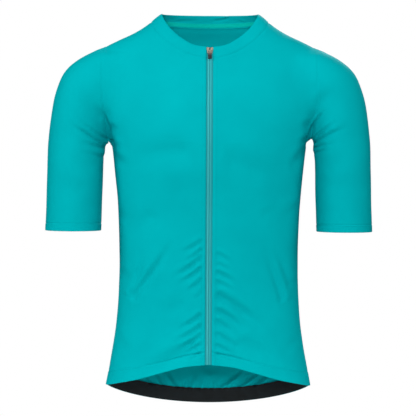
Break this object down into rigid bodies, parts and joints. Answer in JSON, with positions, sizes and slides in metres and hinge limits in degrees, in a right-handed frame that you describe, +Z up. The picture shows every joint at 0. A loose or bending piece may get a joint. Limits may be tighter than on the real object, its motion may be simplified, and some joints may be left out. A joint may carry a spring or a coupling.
{
  "type": "cycling jersey",
  "caption": "Short-sleeved cycling jersey, filled out as worn and hollow, with a low band collar, a full front zip, a dropped tail with a gripper and back pockets.",
  "frame": {"origin": "middle of the neck base, level with the neck ends of the shoulder seams, where the wearer's shoulders hold the jersey", "axes": "+Z up, the front faces -Y, the wearer's left side is +X"},
  "size_m": [0.586, 0.2255, 0.7105],
  "materials": {
    "knit": "fine smooth stretch knit with a soft satin sheen",
    "gripper": "matt black elastic band with fine ribs",
    "zip_tape": "woven tape, moulded teeth hidden by its folded edge",
    "slider_metal": "satin warm grey plating",
    "tab_metal": "dark satin coating"
  },
  "bodies": {
    "jersey": {"front_left": "knit", "front_right": "knit", "back": "knit", "sleeve_left": "knit", "sleeve_right": "knit", "collar": "knit", "neck_tape": "knit", "hem_gripper": "gripper", "pocket_panel": "knit", "pocket_binding": "knit", "zip_tape_left": "zip_tape", "zip_tape_right": "zip_tape", "zip_slider": "slider_metal"},
    "pull_tab": {"zip_pull_tab": "tab_metal"}
  },
  "joints": [
    {"name": "pull_tab_swing", "type": "hinge", "parent": "jersey", "child": "pull_tab", "pos_m": [0, -0.06026, -0.04859], "axis": [-1, 0, 0], "range_deg": [0, 170]}
  ]
}
